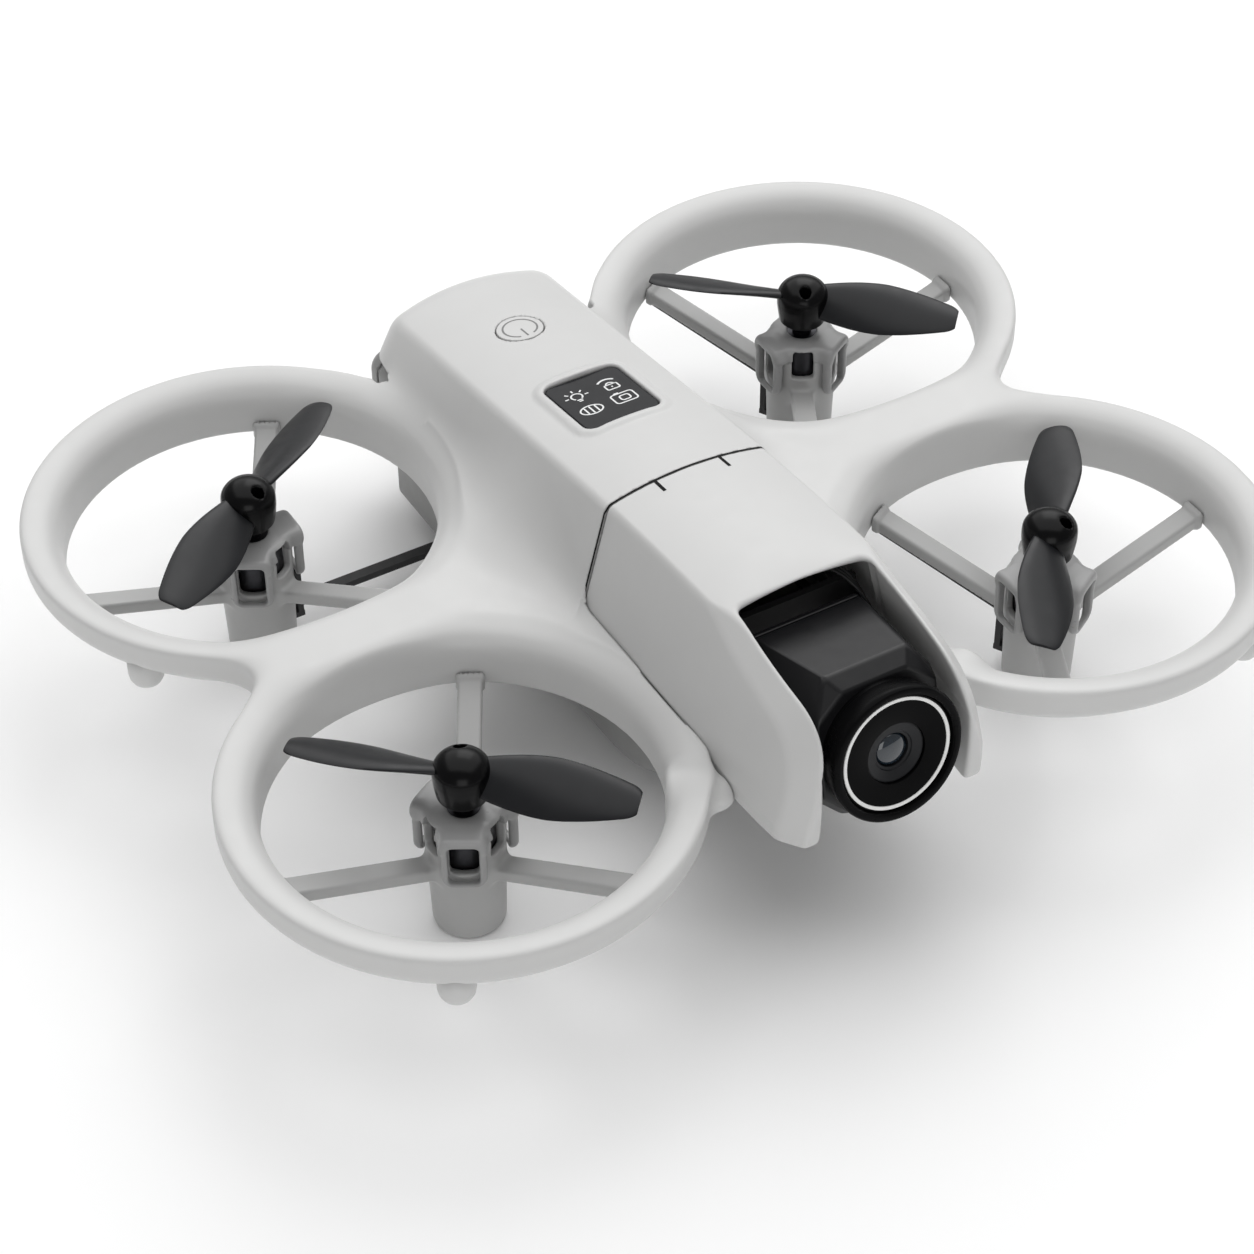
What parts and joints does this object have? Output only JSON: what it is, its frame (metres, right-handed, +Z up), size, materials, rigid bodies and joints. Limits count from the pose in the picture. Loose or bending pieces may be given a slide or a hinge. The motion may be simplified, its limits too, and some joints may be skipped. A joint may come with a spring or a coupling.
{
  "type": "fpv racing drone",
  "caption": "Ducted mini camera drone: slim body, guarded two-blade propellers on coreless motors, tilting nose camera and slide-out battery.",
  "frame": {"origin": "on the ground under the middle of the outline, with the motor barrels standing on the ground", "axes": "+X across, +Z up, and the nose points to -Y"},
  "size_m": [0.1618, 0.1331, 0.0467],
  "materials": {
    "shell_white": "fine satin moulded plastic",
    "belly_grey": "satin moulded plastic",
    "pod_grey": "satin moulded plastic",
    "motor_metal": "black oxide can",
    "shaft_steel": "ground steel",
    "propeller_black": "satin nylon",
    "lead_black": "matt sleeve",
    "display_glass": "dark polished window",
    "display_frame": "satin",
    "camera_black": "satin",
    "trim_white": "satin print",
    "cover_glass": "polished",
    "lens_coated": "coated",
    "board_green": "solder mask",
    "cell_foil": "foil pouch",
    "contact_brass": "gold plate"
  },
  "bodies": {
    "frame": {"top_cover": "shell_white", "nose_hood": "shell_white", "belly_tray": "belly_grey", "saddle_right": "shell_white", "saddle_left": "shell_white", "duct_front_right": "shell_white", "duct_rear_right": "shell_white", "duct_rear_left": "shell_white", "duct_front_left": "shell_white", "motor_mount_front_right": "pod_grey", "motor_mount_rear_right": "pod_grey", "motor_mount_rear_left": "pod_grey", "motor_mount_front_left": "pod_grey", "motor_front_right": "motor_metal", "motor_rear_right": "motor_metal", "motor_rear_left": "motor_metal", "motor_front_left": "motor_metal", "motor_cap_front_right": "pod_grey", "motor_cap_rear_right": "pod_grey", "motor_cap_rear_left": "pod_grey", "motor_cap_front_left": "pod_grey", "leads_front_right": "lead_black", "leads_rear_right": "lead_black", "leads_rear_left": "lead_black", "leads_front_left": "lead_black", "duct_pegs": "shell_white", "display_window": "display_glass", "display_module": "display_frame", "main_board": "board_green", "battery_contacts": "contact_brass", "camera_bracket": "display_frame", "tilt_motor": "motor_metal", "camera_ribbon": "lead_black", "usb_socket": "shaft_steel", "belly_sensor_window": "display_glass", "board_screws": "shaft_steel", "power_switch": "display_frame"},
    "propeller_front_right": {"propeller_front_right": "propeller_black", "shaft_front_right": "shaft_steel"},
    "propeller_rear_right": {"propeller_rear_right": "propeller_black", "shaft_rear_right": "shaft_steel"},
    "propeller_rear_left": {"propeller_rear_left": "propeller_black", "shaft_rear_left": "shaft_steel"},
    "propeller_front_left": {"propeller_front_left": "propeller_black", "shaft_front_left": "shaft_steel"},
    "camera": {"camera_housing": "camera_black", "camera_back": "camera_black", "lens_barrel": "camera_black", "lens_trim_ring": "trim_white", "lens_cover_glass": "cover_glass", "lens_element": "lens_coated", "image_sensor_board": "board_green", "camera_axle": "shaft_steel"},
    "battery": {"battery_case": "belly_grey", "battery_cell": "cell_foil"},
    "battery_latch": {"battery_latch": "display_frame"},
    "power_button": {"power_button": "shell_white"}
  },
  "joints": [
    {"name": "propeller_front_right_spin", "type": "hinge", "parent": "frame", "child": "propeller_front_right", "pos_m": [-0.04775, -0.03221, 0.027], "axis": [0, 0, 1], "continuous": true},
    {"name": "propeller_rear_right_spin", "type": "hinge", "parent": "frame", "child": "propeller_rear_right", "pos_m": [-0.04775, 0.03339, 0.027], "axis": [0, 0, 1], "continuous": true},
    {"name": "propeller_rear_left_spin", "type": "hinge", "parent": "frame", "child": "propeller_rear_left", "pos_m": [0.04775, 0.03339, 0.027], "axis": [0, 0, 1], "continuous": true},
    {"name": "propeller_front_left_spin", "type": "hinge", "parent": "frame", "child": "propeller_front_left", "pos_m": [0.04775, -0.03221, 0.027], "axis": [0, 0, 1], "continuous": true},
    {"name": "camera_tilt", "type": "hinge", "parent": "frame", "child": "camera", "pos_m": [0, -0.05081, 0.0306], "axis": [1, 0, 0], "range_deg": [-8, 102]},
    {"name": "power_button_press", "type": "slide", "parent": "frame", "child": "power_button", "axis": [0, 0.1478, 0.989], "range_m": [-0.0004, 0], "stiffness_N_per_m": 400},
    {"name": "battery_slide", "type": "slide", "parent": "frame", "child": "battery", "axis": [0, 1, 0], "range_m": [0, 0.058]},
    {"name": "battery_latch_press", "type": "slide", "parent": "battery", "child": "battery_latch", "axis": [0, 1, 0], "range_m": [-0.0012, 0], "stiffness_N_per_m": 300}
  ]
}
